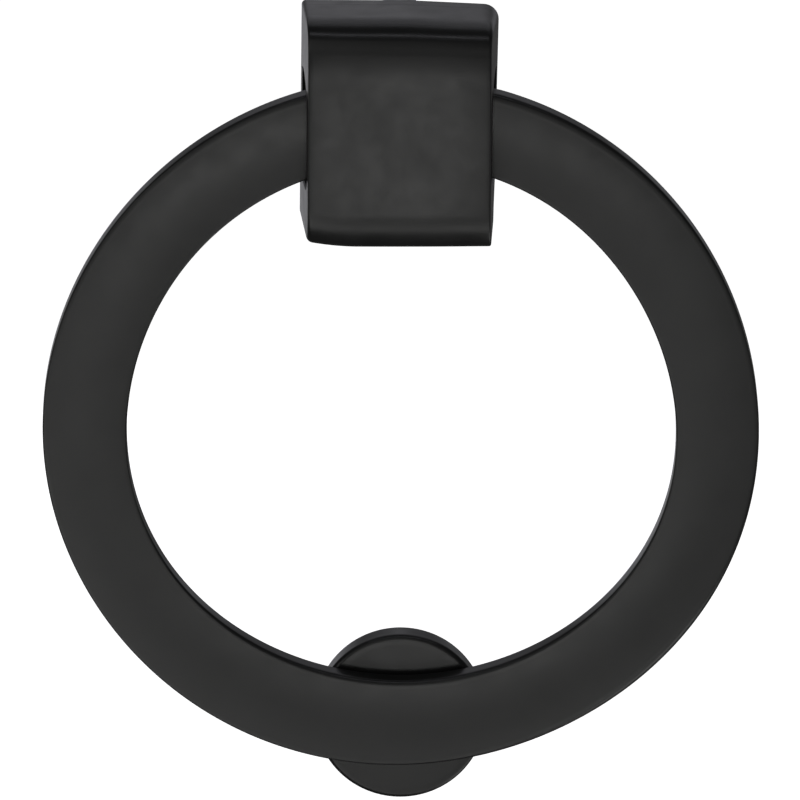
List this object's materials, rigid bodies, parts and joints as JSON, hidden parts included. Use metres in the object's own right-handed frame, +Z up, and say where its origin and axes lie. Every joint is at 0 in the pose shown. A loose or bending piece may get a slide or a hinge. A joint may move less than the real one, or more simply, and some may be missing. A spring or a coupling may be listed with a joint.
{
  "type": "door knocker",
  "caption": "Ring door knocker: a flat ring hinged in a hollow block bracket, landing on a round strike button, with through studs and a hanger bolt.",
  "frame": {"origin": "on the door's outer face, on the bracket's back, straight behind the middle of the hinge pin", "axes": "+X to the viewer's right along the hinge pin, +Y into the door, +Z up; the front faces -Y"},
  "size_m": [0.107, 0.0718, 0.1235],
  "materials": {
    "satin_black": "satin black coating on cast metal",
    "zinc_steel": "zinc plated, dull",
    "pin_steel": "ground stainless",
    "nylon": "natural nylon"
  },
  "bodies": {
    "door_side": {"housing": "satin_black", "back_plate": "satin_black", "back_plate_screws": "zinc_steel", "bushing_left": "nylon", "bushing_right": "nylon", "bracket_studs": "zinc_steel", "bracket_washers": "zinc_steel", "bracket_dome_nuts": "satin_black", "strike": "satin_black", "strike_stud": "zinc_steel"},
    "ring": {"knocker_ring": "satin_black", "hinge_pin": "pin_steel"}
  },
  "joints": [
    {"name": "ring_swing", "type": "hinge", "parent": "door_side", "child": "ring", "pos_m": [0, -0.007, 0], "axis": [-1, 0, 0], "range_deg": [0, 45]}
  ]
}
